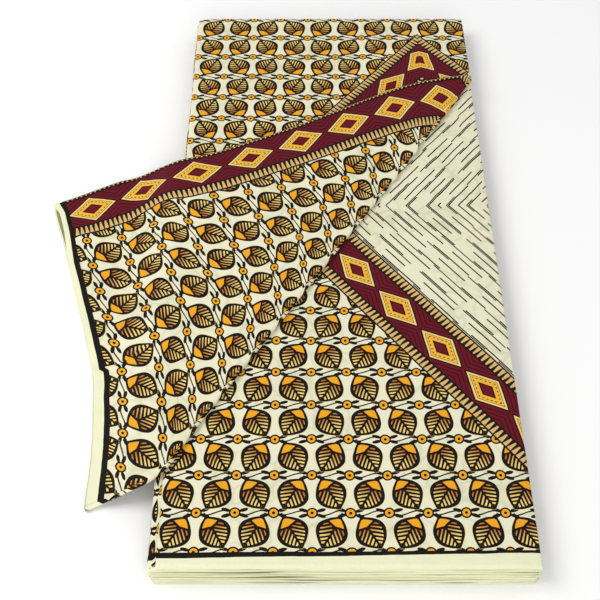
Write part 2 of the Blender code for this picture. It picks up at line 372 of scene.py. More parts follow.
def within(value, middle, half):
    """1 where a value is no further than half from the middle, else 0."""
    return abs(value - middle) < half


def leaves(board, u, v, ground):
    """A plain grid of ribbed leaves."""
    column, row = (u / LEAF_U).floor(), (v / LEAF_V).floor()
    # 1 and -1 by turns, like the squares of a chessboard.
    turn = 1.0 - ((column + row) * 0.5).part() * 4.0
    x, y = from_middle(u, LEAF_U) * turn, from_middle(v, LEAF_V)
    c, s = math.cos(LEAF_LEAN), math.sin(LEAF_LEAN)
    along = x * s + y * c
    across = abs(x * c - y * s)
    off = across - LEAF_WIDE * (1.0 - (along / LEAF_LONG) * (along / LEAF_LONG))
    glow = 1.0 - off.soft(GLOW_IN, GLOW_OUT)
    colour = board.mix(glow * (along > GLOW_FROM) * GLOW_SHARE, ground, PALE)

    tip = along.soft(TIP_FROM, TIP_TO)
    rib = ((along - across * RIB_LEAN) / RIB).part()
    dark = (rib > RIB_GAP + tip * TIP_GAP).high(across < MIDRIB)
    tone = board.mix(along.soft(-TONE_HALF, TONE_HALF), RUST, PALE_GOLD)
    tone = board.mix(dark, tone, BLACK)
    cap = along + across * CAP_LEAN
    tone = board.mix(cap < CAP_END, tone, AMBER)
    tone = board.mix(within(cap, CAP_LINE, CAP_LINE_HALF), tone, BLACK)
    colour = board.mix(off < 0.0, colour, tone)
    stem = (across < STEM_HALF) * (along < -LEAF_LONG + STEM_IN) * (along > -LEAF_LONG - STEM_OUT)
    return board.mix((abs(off) < LEAF_LINE).high(stem), colour, BLACK)


print("leaf", round(LEAF_LONG * 2000, 1), "by", round(LEAF_WIDE * 2000, 1), "mm")

# %% [markdown]
# Inside the large lozenges thin broken lines echo their sides. Two sets with
# different spacing lie over each other. Every line is cut into dashes, and a
# random number that belongs to the line and the dash gives its length.

# %% Broken lines
ECHO, ECHO_DASH, ECHO_SHOVE = 0.0068, 0.052, 5.0
ECHO_SETS = ((ECHO, 0.0, 0.00060, 0.0), (ECHO * 2.0, 0.0020, 0.00050, 0.2))
DASH_LEAST, DASH_VARIES = 0.22, 0.26


def chance(board, *place):
    """A random number from 0 to 1 that belongs to a place."""
    place = board.node("ShaderNodeCombineXYZ", {}, *place)
    return board.node("ShaderNodeTexWhiteNoise", {"noise_dimensions": "3D"}, place)


def echo_lines(board, n, s, ground):
    """Broken lines at even distances n from the lozenge's sides; s runs along them."""
    colour = ground
    for spacing, start, half, seed in ECHO_SETS:
        step = (n + start) / spacing
        line = abs(step.part() - 0.5) * spacing < half
        run = s / ECHO_DASH + chance(board, step.floor(), 0.0, seed) * ECHO_SHOVE
        length = DASH_LEAST + chance(board, step.floor(), run.floor(), seed) * DASH_VARIES
        colour = board.mix(line * (abs(run.part() - 0.5) < length), colour, BLACK)
    return colour


print("broken lines every", round(ECHO * 1000, 1), "mm")

# %% [markdown]
# The bands are maroon with fine dark stripes. A chain of golden lozenges runs
# down the middle, and a row of small teeth along each edge. A lozenge is
# where two shares add up to less than 1: how far along the link a place is,
# and how far from the band's middle. The same sum gives its rings.

# %% Bands
BAND, EDGE, OUTLINE = 0.0480, 0.0088, 0.0007
TOOTH, TOOTH_ROOT, TOOTH_TAPER = 0.0044, 0.28, 0.55
CHAIN, LINK_LONG, LINK_WIDE = 0.0500, 0.46, 0.0128
STRIPE, STRIPE_DARK, STRIPES_FROM = 0.30, 0.26, 1.12
DOT, DOT_HALF = 0.0030, 0.22
PALE_FROM, HOLE_RIM, HOLE = 0.76, 0.42, 0.33
DOT_RING, LINE_RING, OUTER_RING = (0.66, 0.035), (0.81, 0.022), (1.02, 0.055)


def band(board, n, s):
    """A patterned band: n is the distance outwards from its outer edge, s runs along it."""
    w = abs(n + BAND * 0.5)
    rim = (w - (BAND * 0.5 - EDGE)) / EDGE
    teeth = abs((s / TOOTH).part() - 0.5) * 2.0
    edging = board.mix(teeth > rim * TOOTH_TAPER + TOOTH_ROOT, TAN, DARK_BROWN)
    link = abs((s / CHAIN).part() - 0.5) / LINK_LONG + w / LINK_WIDE
    stripes = ((link - 1.0) / STRIPE).part() < STRIPE_DARK
    body = board.mix(stripes * (link > STRIPES_FROM), MAROON, DARK_MAROON)
    dots = within((s / DOT).part(), 0.5, DOT_HALF)
    gold = board.mix(link > PALE_FROM, GOLD, PALE_GOLD)
    gold = board.mix(within(link, *DOT_RING) * dots, gold, BLACK)
    gold = board.mix(within(link, *LINE_RING), gold, BLACK)
    gold = board.mix(link < HOLE_RIM, gold, BLACK)
    gold = board.mix(link < HOLE, gold, MAROON)
    body = board.mix(link < 1.0, body, gold)
    body = board.mix(within(link, *OUTER_RING), body, BLACK)
    colour = board.mix(rim < 0.0, edging, body)
    rims = (abs(rim) < OUTLINE / EDGE).high(within(w, BAND * 0.5, OUTLINE))
    return board.mix(rims, colour, BLACK)


print("bands", round(BAND * 1000), "mm wide")

# %% [markdown]
# The large figure is a row of lozenges, with a zigzag band in each space
# between two of them. Leaves fill the ground outside the lozenges, and the
# broken lines fill their inside. Distances from the sides of a lozenge and
# from the middle of a zigzag both feed the same band.

# %% The large figure
BIG_U, BIG_V = 0.215, 0.262
BIG_REPEAT, BIG_MIDDLE = 0.60, 0.292
ZIGZAG_LEAN = math.radians(12)


def figure(board, u, v, ground):
    """The whole drawing on its ground."""
    across, up = abs(from_middle(u, BIG_REPEAT)), abs(v - BIG_MIDDLE)
    side = math.hypot(BIG_U, BIG_V)
    n = (across * BIG_V + up * BIG_U - BIG_U * BIG_V) / side
    s = (across * BIG_U - up * BIG_V) / side
    outside = leaves(board, u, v, vine(board, u, v, ground))
    inside = echo_lines(board, n, s, ground)
    field = board.mix(n < -BAND * 0.5, outside, inside)

    zigzag = ((u + up * math.tan(ZIGZAG_LEAN)) / BIG_REPEAT).part()
    zn = (0.5 - abs(zigzag - 0.5)) * (BIG_REPEAT * math.cos(ZIGZAG_LEAN)) - BAND * 0.5
    in_zigzag = zn < OUTLINE
    in_band = ((n < OUTLINE) * (n > -BAND - OUTLINE)).high(in_zigzag)
    n = n + (zn - n) * in_zigzag
    s = s + (up / math.cos(ZIGZAG_LEAN) - s) * in_zigzag
    return board.mix(in_band, field, band(board, n, s))


print("large lozenges", round(BIG_U * 2000), "by", round(BIG_V * 2000), "mm")

# %% [markdown]
# Along the selvedge runs a black line, then a bare cream strip. Where the map
# runs below the strip, the colour turns to a painted shade, which stands for
# the shade at the cut edges and in the gaps between layers. Printing runs
# slightly out of true, so the line's two edges may drift away from the
# selvedge along it.

# %% Selvedge
LINE_IN, LINE_OUT = 0.0078, 0.0120
SLANT_START = 0.13
# Where the painted shade of the cut edges begins and where it is full.
EDGE_SHADE_FROM, EDGE_SHADE_TO = 0.0005, -0.0010


def selvedge_print(board, u, v, slant, colour):
    """The black line, the bare strip and the painted shade beyond it; slant is the drift of both line
    edges.
    """
    along = u + SLANT_START
    colour = board.mix(v - along * slant[1] < LINE_OUT, colour, BLACK)
    colour = board.mix(v - along * slant[0] < LINE_IN, colour, SELVEDGE_CREAM)
    # Painted shade: below the bare strip the colour darkens to stand for the shade at the cut edges.
    return board.mix(v.soft(EDGE_SHADE_FROM, EDGE_SHADE_TO), colour, PAINTED_EDGE_SHADE)


print("bare strip", round(LINE_IN * 1000, 1), "mm wide")

# %% [markdown]
# The finished cloth is matt cotton. The drawing is read from the cloth's own
# map, which follows the weave in metres, so it bends with every fold. Its
# lines wander slightly, as hand-carved ones do. Fine threads make the colour
# fleck, and two bump maps give the weave and a faint rumple.

# %% Cloth that takes the print
WANDER_SCALE, WANDER, EDGE_WANDER = 55.0, 0.0012, 0.6
THREAD_LONG, THREAD_FINE = 160.0, 2600.0
FLECK_LEAST, FLECK_VARIES = 0.90, 0.20
ROUGH_LEAST, ROUGH_VARIES = 0.60, 0.16
RUMPLE_SCALE, RUMPLE_DEEP = 34.0, 0.0016
WEAVE_STRENGTH, WEAVE_DEEP = 0.35, 0.0004
SPECULAR, SHEEN, SHEEN_ROUGH = 0.10, 0.015, 0.5


def threads(board, uv, stretch):
    """Noise drawn out along one way of the weave."""
    place = board.node("ShaderNodeVectorMath", {"operation": "MULTIPLY"}, uv, stretch)
    return noise(board, place, scale=1.0)


def printed_cotton(name, shift, way=1.0, slant=(0.0, 0.0)):
    """The finished cloth. Way is 1 where stems point to the selvedge, else -1."""
    board = Board(name)
    uv = board.node("ShaderNodeUVMap", {"uv_map": "cloth"})
    u = board.node("ShaderNodeSeparateXYZ", {}, uv)
    v = board.node("ShaderNodeSeparateXYZ", {}, uv, output=1)
    shake = (noise(board, uv, WANDER_SCALE) - 0.5) * WANDER
    print_u, print_v = u + shift[0] + shake, v * way + shift[1] + shake
    colour = figure(board, print_u, print_v, cream_ground(board, uv))
    colour = selvedge_print(board, u, v + shake * EDGE_WANDER, slant, colour)

    warp = threads(board, uv, (THREAD_LONG, THREAD_FINE, 0.0))
    weft = threads(board, uv, (THREAD_FINE, THREAD_LONG, 0.0))
    weave = (warp + weft) * 0.5
    fleck = FLECK_LEAST + weave * FLECK_VARIES
    board.feed("Base Color", board.node("ShaderNodeVectorMath", {"operation": "SCALE"},
                                        colour, Scale=fleck))
    board.feed("Roughness", ROUGH_LEAST + weave * ROUGH_VARIES)
    rumple = noise(board, uv, RUMPLE_SCALE)
    bump = board.node("ShaderNodeBump", {}, Strength=1.0, Distance=RUMPLE_DEEP, Height=rumple)
    bump = board.node("ShaderNodeBump", {}, Strength=WEAVE_STRENGTH, Distance=WEAVE_DEEP,
                      Height=weave, Normal=bump)
    board.feed("Normal", bump)
    board.feed("Specular IOR Level", SPECULAR)
    board.feed("Sheen Weight", SHEEN)
    board.feed("Sheen Roughness", SHEEN_ROUGH)
    print(name, len(board.tree.nodes), "nodes")
    return board.material


# %% [markdown]
# Every stretch of cloth is a grid of points that follows its solid, with the
# cloth's own measure stored at each point. A cloth simulation would not give
# the same folds twice, so the grids are worked out. Solidify then gives a
# grid the thickness of cotton, and a closed shell needs none.

# %% Helpers for cloth
COTTON = 0.00045


def smooth(t):
    """Eases from 0 to 1."""
    t = min(1.0, max(0.0, t))
    return t * t * (3.0 - 2.0 * t)


def cloth(name, grid, maps, paint, closed=False):
    """A sheet from rows of points, with the map that the print follows.

    Closed makes each row a loop and gives the shell a face at both ends.
    """
    rows, count = len(grid), len(grid[0])
    faces = []
    for i in range(rows - 1):
        for j in range(count if closed else count - 1):
            k = (j + 1) % count
            faces.append((i * count + j, i * count + k, (i + 1) * count + k, (i + 1) * count + j))
    if closed:
        faces.append(tuple(reversed(range(count))))
        faces.append(tuple(range((rows - 1) * count, rows * count)))
    mesh = bpy.data.meshes.new(name)
    mesh.from_pydata([point for row in grid for point in row], [], faces)
    layer = mesh.uv_layers.new(name="cloth")
    flat = [place for row in maps for place in row]
    for corner in mesh.loops:
        layer.data[corner.index].uv = flat[corner.vertex_index]
    mesh.materials.append(paint)
    mesh.shade_smooth()
    item = bpy.data.objects.new(name, mesh)
    scene.collection.objects.link(item)
    if not closed:
        wall = item.modifiers.new("wall", "SOLIDIFY")
        wall.thickness = COTTON
        wall.offset = 0.0
    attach(item, "root")
    print(name, len(faces), "faces")
    return item


# %% [markdown]
# The hidden layers show only at their edges: soft folds along the left, right
# and far sides, and cut selvedges at the near side. Separate sheets would
# hide most of their faces inside, so one closed shell follows all the edges.
# Its loops start from a rounded rectangle.

# %% The stack's outline
STACK_LEFT, STACK_RIGHT = -0.1376, 0.1312
STACK_NEAR, STACK_FAR = -0.2882, 0.2894
CORNER = 0.0030
ACROSS_STEPS, ALONG_STEPS, CORNER_STEPS = 64, 120, 8


def outline(left, right, near, far, radius):
    """Points and outward directions round a rounded rectangle, from its near left corner."""
    found = []
    sides = (((left + radius, near), (right - radius, near), (0.0, -1.0), ACROSS_STEPS),
             ((right, near + radius), (right, far - radius), (1.0, 0.0), ALONG_STEPS),
             ((right - radius, far), (left + radius, far), (0.0, 1.0), ACROSS_STEPS),
             ((left, far - radius), (left, near + radius), (-1.0, 0.0), ALONG_STEPS))
    centres = ((right - radius, near + radius), (right - radius, far - radius),
               (left + radius, far - radius), (left + radius, near + radius))
    for side, (start, end, way, steps) in enumerate(sides):
        for k in range(steps + 1):
            found.append((Vector(start).lerp(Vector(end), k / steps), Vector(way)))
        for k in range(1, CORNER_STEPS):
            angle = math.radians(-90 + 90 * side + 90 * k / CORNER_STEPS)
            way = Vector((math.cos(angle), math.sin(angle)))
            found.append((Vector(centres[side]) + way * radius, way))
    return found


base = outline(STACK_LEFT, STACK_RIGHT, STACK_NEAR, STACK_FAR, CORNER)
print("points in a loop", len(base))

# %% [markdown]
# The layers lie in six bundles. Each layer stands out a little more or less
# than the next, and whole bundles more so. The lower bundles reach further
# out at the near end, and the lowest layers draw in at the left, under the
# turned corner. Random numbers with fixed seeds give the same stack each time.

# %% How far the layers stand out
LAYERS = 18
BUNDLE_STARTS = (2, 5, 8, 11, 14)
BUNDLE_NEAR = (0.0017, 0.0013, 0.0006, 0.0, -0.0006, -0.0012)
LOW_LEFT = (0.0060, 0.0044, 0.0030, 0.0016, 0.0006)
LAYER_LOOSE, BUNDLE_LOOSE, NEAR_LOOSE = 0.0004, 0.0010, 0.5
BUNDLE_SEED, FULL_TURN = 40, 6.28
rng = random.Random(5)


def layer_edges(k):
    """How far each side of one layer stands out: left, right, near, far."""
    group = sum(k >= edge for edge in BUNDLE_STARTS)
    lean = random.Random(BUNDLE_SEED + group)
    own = [rng.uniform(-LAYER_LOOSE, LAYER_LOOSE) for _ in range(4)]
    together = [lean.uniform(-BUNDLE_LOOSE, BUNDLE_LOOSE) for _ in range(4)]
    low_left = LOW_LEFT[k] if k < len(LOW_LEFT) else 0.0
    return [own[0] + together[0] - low_left, own[1] + together[1],
            own[2] * NEAR_LOOSE + BUNDLE_NEAR[group], own[3] + together[3]]


proud = [layer_edges(k) for k in range(LAYERS)]
waves = [[rng.uniform(0.0, FULL_TURN) for _ in range(3)] for _ in range(LAYERS)]
print("nearest layer stands out", round(max(edges[2] for edges in proud) * 1000, 1), "mm")

# %% [markdown]
# A loop follows the outline at one height, moved in or out as its layer asks
# and slightly wavy. Its map wraps round the edge, so the print runs over each
# fold. At the near side the map stays on the bare strip, or slips below it
# into the painted shade that stands for the shade between two cut edges.

# %% One loop round the stack
STACK_TOP = 0.0186
SWAY_X, SWAY_Y, SWAY_QUICK = 26.0, 19.0, 3.1
SWAY_WIDE, QUICK_WIDE = 0.00035, 0.00022
DRIFT_SLOW, DRIFT_QUICK, DRIFT_SHARE = 23.0, 61.0, 0.6
GAPE_MEAN, GAPE_VARIES = 0.7, 0.2
LAYER_SHIFT, SIDE_WRAP = 0.0286, 2.2
FAR_SHIFT, FAR_WRAP = 0.013, 0.6
STRIP_HALF, SHADE_VARIES = 0.004, 0.45


def stack_ring(k, z, inset, gape, seam):
    """The points and the map of one loop of layer k.

    Gape opens the gap at the near side. Seam places the near side's map: 1 is on the bare strip, below
    0 is the painted shade, and near 0 that painted shade comes and goes along the edge.
    """
    ring, maps = [], []
    for point, way in base:
        share = [max(0.0, -way.x), max(0.0, way.x), max(0.0, -way.y), max(0.0, way.y)]
        near, far = share[2], share[3]
        out = sum(s * p for s, p in zip(share, proud[k]))
        run = point.x * SWAY_X + point.y * SWAY_Y
        out += (SWAY_WIDE * math.sin(run + waves[k][0])
                + QUICK_WIDE * math.sin(SWAY_QUICK * run + waves[k][1]))
        place = point + way * (out - inset)
        drift = (math.sin(place.x * DRIFT_SLOW + waves[k][2])
                 + DRIFT_SHARE * math.sin(place.x * DRIFT_QUICK + waves[k][0]))
        ring.append((place.x, place.y, z + gape * near * (GAPE_MEAN + GAPE_VARIES * drift)))
        depth = STACK_TOP - z
        # Painted shade: a negative strip puts the near side's map below the bare strip.
        strip = STRIP_HALF * (seam + SHADE_VARIES * drift * (abs(seam) < 1.0))
        maps.append((place.x + LAYER_SHIFT * k + way.x * depth * SIDE_WRAP,
                     (place.y - STACK_NEAR) * (1.0 - near)
                     + FAR_WRAP * (depth + FAR_SHIFT * k) * far + near * strip))
    return ring, maps


print("layers", round(STACK_TOP / LAYERS * 1000, 2), "mm high")

# %% [markdown]
# The loops climb from the surface to the top. Four of them round each layer's
# edge, and one makes the groove above it. Where a bundle ends, two deeper
# loops make the gap instead. A smaller loop and a flat face close the shell
# at the bottom, and again at the top.

# %% The stack's folded edges
NOTCH, GAP_DEPTH, GAPE, TOP_INSET = 0.0011, 0.0046, 0.00032, 0.0030
LAYER_LOW, LAYER_HIGH = 0.16, 0.86
BUNDLE_LOW, BUNDLE_HIGH = 0.34, 0.66
FACE_HALF, SHOULDER = 0.14, 0.30
GAP_LOW, GAP_HIGH = 0.04, 1.28
# Seams below 0 colour a loop with the painted shade of the gaps between layers.
STRIP_SEAM, SHADE_SEAM = 1.0, -1.0
LOW_SEAM, HIGH_SEAM, GROOVE_SEAM = 0.4, 0.2, 0.1
FOOT_SHARE, TOP_SHARE_X, TOP_SHARE_Y = 0.5, 0.72, 0.86

height = STACK_TOP / LAYERS
levels = [(0, 0.0, NOTCH, 0.0, SHADE_SEAM)]
for k in range(LAYERS):
    starts, ends = k in BUNDLE_STARTS, k + 1 in BUNDLE_STARTS
    low = BUNDLE_LOW if starts else LAYER_LOW
    high = BUNDLE_HIGH if ends else LAYER_HIGH
    middle = (low + high) / 2
    up, down = (GAPE if starts else 0.0), (-GAPE if ends else 0.0)
    levels += [
        (k, (k + low) * height, SHOULDER * NOTCH, up + down / 3, LOW_SEAM if starts else STRIP_SEAM),
        (k, (k + middle - FACE_HALF) * height, 0.0, up + down / 2, STRIP_SEAM),
        (k, (k + middle + FACE_HALF) * height, 0.0, down + up / 2, STRIP_SEAM),
        (k, (k + high) * height, SHOULDER * NOTCH, down + up / 3, HIGH_SEAM if ends else STRIP_SEAM)]
    if ends:
        levels += [(k, (k + high + GAP_LOW) * height, GAP_DEPTH, down, SHADE_SEAM),
                   (k + 1, (k + GAP_HIGH) * height, GAP_DEPTH, GAPE, SHADE_SEAM)]
    elif k < LAYERS - 1:
        levels.append((k, (k + 1.0) * height, NOTCH, 0.0, GROOVE_SEAM))
levels.append((LAYERS - 1, STACK_TOP, TOP_INSET, 0.0, SHADE_SEAM))

loops = [stack_ring(*level) for level in levels]
rings = [ring for ring, _ in loops]
ring_maps = [maps for _, maps in loops]
rings.insert(0, [(x * FOOT_SHARE, y * FOOT_SHARE, 0.0) for x, y, _ in rings[0]])
ring_maps.insert(0, ring_maps[0])
rings.append([(x * TOP_SHARE_X, y * TOP_SHARE_Y, z) for x, y, z in rings[-1]])
ring_maps.append([(u * TOP_SHARE_X, v) for u, v in ring_maps[-1]])

stack_paint = printed_cotton("stack_print", shift=(0.25, 0.0))
stack = cloth("stack_folds", rings, ring_maps, stack_paint, closed=True)
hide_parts("folded_stack")

# %% [markdown]
# A layer that lies on the stack is almost flat, with edges that curl under and
# slow bumps, because real cloth is never quite smooth. Half a turn of a small
# circle gives the folded edge, and a short tuck goes on beneath it.

# %% Helpers for a lying sheet
FOLD_R, TUCK = 0.00055, 0.006
FOLD_TURNS, TUCK_SHARES = (0.25, 0.5, 0.75, 1.0), (0.4, 1.0)
BUMP_HIGH, BUMP_ONE, BUMP_TWO = 0.00035, (31.0, 9.0, 0.4), (-6.0, 17.0, 0.0)
SWELL_HIGH, SWELL = 0.00022, (63.0, -37.0, 1.9)


def wave(x, y, turns):
    """A wave across the cloth: turns along x and along y, and where it starts."""
    return math.sin(turns[0] * x + turns[1] * y + turns[2])


def relief(x, y):
    """Slow unevenness of cloth that lies in a stack."""
    return BUMP_HIGH * wave(x, y, BUMP_ONE) * wave(x, y, BUMP_TWO) + SWELL_HIGH * wave(x, y, SWELL)


def curl(arc):
    """How far a folded edge runs out and drops, for this length of cloth past its flat part."""
    if arc <= 0.0:
        return 0.0, 0.0
    angle = min(arc / FOLD_R, math.pi)
    out = FOLD_R * math.sin(angle) - max(0.0, arc - FOLD_R * math.pi)
    return out, FOLD_R * (1.0 - math.cos(angle))


def spread(start, end, steps, folded_start):
    """Places along one direction, as (flat place, cloth past it, side), folded at the end."""
    half_turn = math.pi * FOLD_R
    arcs = [half_turn * t for t in FOLD_TURNS] + [half_turn + TUCK * t for t in TUCK_SHARES]
    low = start + (FOLD_R if folded_start else 0.0)
    high = end - FOLD_R
    found = [(low, arc, -1) for arc in reversed(arcs)] if folded_start else []
    found += [(low + (high - low) * k / steps, 0.0, 0) for k in range(steps + 1)]
    return found + [(high, arc, 1) for arc in arcs]


print("folded edges", round(FOLD_R * 2000, 1), "mm high")

# %% [markdown]
# The layer that shows at the lower right is cut straight along its selvedge
# and folded under on the other three sides. It eases down a little towards
# its right and far edges. The same function makes the flat part of the top
# layer later, so its near and far ends are given as lines.

# %% Under sheet
UNDER_Z = 0.0200
UNDER_EDGES = (-0.1310, 0.1316, -0.2874, 0.2912)
UNDER_STEPS = (70, 130)
CUT_WAVE, CUT_TURNS, CUT_START = 0.0004, 40.0, 1.0
EASE_RIGHT, EASE_FAR = (0.0009, 0.004), (0.0005, 0.005)
CALM_EDGE = 0.02


def lying_sheet(name, edges, z, near_line, far_line, steps, paint):
    """A layer on the stack, folded under at its left, right and far edges."""
    left, right, near, far = edges
    grid, maps = [], []
    for x, ax, sx in spread(left, right, steps[0], True):
        row, row_map = [], []
        for y, ay, sy in spread(near_line(x), far_line(x), steps[1], False):
            arc = math.hypot(ax, ay)
            out, drop = curl(arc)
            way = Vector((sx * ax, sy * ay)) / arc if arc else Vector((0.0, 0.0))
            px, py = x + way.x * out, y + way.y * out
            ease = (EASE_RIGHT[0] * math.exp(-max(0.0, right - x) / EASE_RIGHT[1])
                    + EASE_FAR[0] * math.exp(-max(0.0, far - y) / EASE_FAR[1]))
            lift = relief(px, py) * smooth(min(right - x, x - left, far - y) / CALM_EDGE)
            row.append((px, py, z - drop - ease + lift))
            row_map.append((x + sx * ax, y + sy * ay - near))
        grid.append(row)
        maps.append(row_map)
    return cloth(name, grid, maps, paint)


def cut_line(x):
    """The cut selvedge, which is never quite straight."""
    return UNDER_EDGES[2] + CUT_WAVE * math.sin(CUT_TURNS * x + CUT_START)


def straight_line(x):
    """The far fold of the under sheet."""
    return UNDER_EDGES[3]


under_paint = printed_cotton("under_print", shift=(0.16, 0.619), way=-1.0, slant=(0.0158, 0.0072))
under = lying_sheet("under_sheet", UNDER_EDGES, UNDER_Z, cut_line, straight_line, UNDER_STEPS,
                    under_paint)
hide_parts("under_panel")

# %% [markdown]
# The top layer comes in two grids. One lies flat at the upper left. The other
# is the turned corner: it starts as a lip beside the first, rolls over along
# the diagonal, runs up to the corner's upper edge, rolls under there and
# comes back beneath itself, because the cloth is double. Three of its
# boundary lines are smooth curves through key points, and the tip closes it.

# %% Lines of the turned corner
FOLD_LINE = [(-0.1880, -0.2372), (-0.1753, -0.2325), (-0.1578, -0.2292), (-0.1420, -0.2247),
             (-0.1320, -0.2165), (-0.1245, -0.2070), (-0.1077, -0.1775), (-0.0469, -0.0835),
             (0.0176, 0.0172), (0.0676, 0.0948), (0.0787, 0.1147), (0.0996, 0.1448),
             (0.1255, 0.1871), (0.1306, 0.1937), (0.1325, 0.1972)]
UPPER_EDGE = [(-0.2540, 0.0562), (-0.2319, 0.0670), (-0.2063, 0.0805), (-0.1906, 0.0870),
              (-0.1728, 0.0897), (-0.1500, 0.0887), (-0.1348, 0.0922), (-0.1037, 0.1021),
              (-0.0330, 0.1355), (0.0392, 0.1746), (0.0774, 0.1918), (0.1145, 0.2012),
              (0.1285, 0.2035), (0.1321, 0.2014)]
SELVEDGE = [(-0.1880, -0.2372), (-0.1893, -0.1900), (-0.1935, -0.1480), (-0.1975, -0.1200),
            (-0.2110, -0.0760), (-0.2325, -0.0098), (-0.2455, 0.0300), (-0.2540, 0.0562)]
FINE = 24


class Curve:
    """A smooth line through key points, read at a share of its length."""

    def __init__(self, keys):
        keys = [Vector(key) for key in keys]
        ends = [keys[0] * 2 - keys[1]] + keys + [keys[-1] * 2 - keys[-2]]
        self.points = []
        for i in range(1, len(ends) - 2):
            a, b, c, d = ends[i - 1:i + 3]
            for k in range(FINE):
                t = k / FINE
                self.points.append(0.5 * (2 * b + (c - a) * t + (2 * a - 5 * b + 4 * c - d) * t * t
                                          + (3 * b - a - 3 * c + d) * t ** 3))
        self.points.append(keys[-1])
        self.lengths = [0.0]
        for p, q in zip(self.points, self.points[1:]):
            self.lengths.append(self.lengths[-1] + (q - p).length)

    def at(self, share):
        """The point at this share of the length, and the line's direction there."""
        wanted = min(1.0, max(0.0, share)) * self.lengths[-1]
        i = min(max(int(np.searchsorted(self.lengths, wanted)) - 1, 0), len(self.points) - 2)
        span = self.lengths[i + 1] - self.lengths[i]
        p, q = self.points[i], self.points[i + 1]
        return p.lerp(q, (wanted - self.lengths[i]) / span), (q - p).normalized()


fold, upper, selvedge = Curve(FOLD_LINE), Curve(UPPER_EDGE), Curve(SELVEDGE)
for name, curve in (("diagonal fold", fold), ("upper edge", upper), ("selvedge", selvedge)):
    print(name, round(curve.lengths[-1] * 1000), "mm long")

# %% [markdown]
# The corner rests on the stack and falls off its left side to the surface
# beyond. Its height comes from one smooth step, with soft ridges added where
# the cloth lifts at its near end, buckles as it leaves the stack, or rests
# on it loosely.

# %% Height of the turned corner
CREST, FOOT, REST_LEVEL = -0.1385, -0.1880, 0.0224
LIP_DROP = 0.0018
NEAR_END = (FOLD_LINE[0], 0.0, 0.030, 0.026, LIP_DROP + 0.0002)
BUCKLE = ((-0.178, -0.085), math.radians(22), 0.042, 0.012, 0.0034)
LOOSE = (((-0.060, -0.060), math.radians(58), 0.055, 0.020, 0.0011),
         ((0.060, 0.115), math.radians(60), 0.040, 0.016, 0.0013),
         ((-0.080, 0.060), math.radians(24), 0.060, 0.024, 0.0009))


def ridge(x, y, centre, way, length, width, height):
    """One soft ridge of cloth, longest along its way."""
    dx, dy = x - centre[0], y - centre[1]
    along = (dx * math.cos(way) + dy * math.sin(way)) / length
    across = (-dx * math.sin(way) + dy * math.cos(way)) / width
    return height * math.exp(-along * along - across * across)


def rest_height(place):
    """Height of the turned corner's underside."""
    x, y = place.x, place.y
    on_stack = smooth((x - FOOT) / (CREST - FOOT))
    z = REST_LEVEL * on_stack
    z += ridge(x, y, *NEAR_END) * (1.0 - on_stack)
    z += ridge(x, y, *BUCKLE)
    for crease in LOOSE:
        z += ridge(x, y, *crease) * on_stack
    return z


print("corner falls", round(REST_LEVEL * 1000, 1), "mm over", round((CREST - FOOT) * 1000), "mm")

# %% [markdown]
# In the cloth's own measure the corner is a plain triangle: its selvedge lies
# along the first axis, and the diagonal and the upper edge meet at the tip.
# The surface is blended from all four boundary lines, both in space and in
# the cloth's measure, so that each point finds its place in the print.

# %% The corner's surface and map
FLAT_SELVEDGE, FLAT_FOLD, FLAT_UPPER = 0.300, 0.568, 0.424
BLUNT = 0.006 / FLAT_UPPER
BULGE = 0.0012
tip_u = (FLAT_FOLD ** 2 - FLAT_UPPER ** 2 + FLAT_SELVEDGE ** 2) / (2 * FLAT_SELVEDGE)
TIP = Vector((tip_u, math.sqrt(FLAT_FOLD ** 2 - tip_u ** 2)))
FAR_CORNER = Vector((FLAT_SELVEDGE, 0.0))
EDGE_TIP = TIP.lerp(FAR_CORNER, BLUNT)


def beside(line, share, distance, turn):
    """A point beside a line, on the corner's side of it."""
    point, way = line.at(share)
    return point + Vector((-way.y, way.x)) * turn * distance


def blend(u, v, side, start, end, tip):
    """A point between four boundary lines."""
    ruled = side(u) * (1 - v) + tip(u) * v + start(v) * (1 - u) + end(v) * u
    corners = (side(0.0) * (1 - u) + side(1.0) * u) * (1 - v) + (tip(0.0) * (1 - u) + tip(1.0) * u) * v
    return ruled - corners


def corner_place(u, v, inset):
    """A point of the corner from above, with its fold side inset by this much."""
    def start(t):
        return beside(fold, t, inset, 1.0)

    def end(t):
        return beside(upper, t, BULGE, -1.0)

    def side(t):
        near = (start(0.0) - selvedge.at(0.0)[0]) * (1 - t)
        far = (end(0.0) - selvedge.at(1.0)[0]) * t
        return selvedge.at(t)[0] + near + far

    def tip(t):
        return start(1.0).lerp(end(1.0), t)

    return blend(u, v, side, start, end, tip)


def corner_map(u, v):
    """The same point in the cloth's own measure."""
    return blend(u, v, lambda t: FAR_CORNER * t, lambda t: TIP * t,
                 lambda t: FAR_CORNER.lerp(EDGE_TIP, t), lambda t: TIP.lerp(EDGE_TIP, t))


print("tip", round(TIP.y * 1000), "mm from the selvedge")

# %% [markdown]
# One row of the grid crosses the corner from the diagonal to the upper edge
# and back. It starts with the lip under the diagonal and goes round the
# fold's nose. Along the upper part of the diagonal the nose stands out in
# shallow lobes, as a fold does that is only pressed by hand.

# %% Lip and nose
NOSE, LIP, LIP_TAIL, LIP_LIFT = 0.0021, 0.0085, 0.004, 0.0003
LIP_LEAST, LIP_SPARE = 0.0004, 0.001
LIP_START, LIP_END = 0.16, 0.10
DOUBLE = 0.0027
LIP_STEPS, NOSE_STEPS = 4, 9
LOBE, LOBE_DEEP, LOBE_LEVEL, LOBE_SHARP = 0.034, 0.0026, 0.6, 0.7
LOBE_UNEVEN, LOBE_TURNS = 0.5, 19.0
LOBES_FROM, LOBES_TO = (0.60, 0.12), (0.965, 0.04)
fold_normal = Vector((TIP.y, -TIP.x)).normalized()


def lip_width(share):
    """The lower lip narrows towards both ends of the fold."""
    narrow = smooth(share / LIP_START) * smooth((1.0 - share) / LIP_END)
    return NOSE + LIP_LEAST + (LIP - NOSE) * narrow


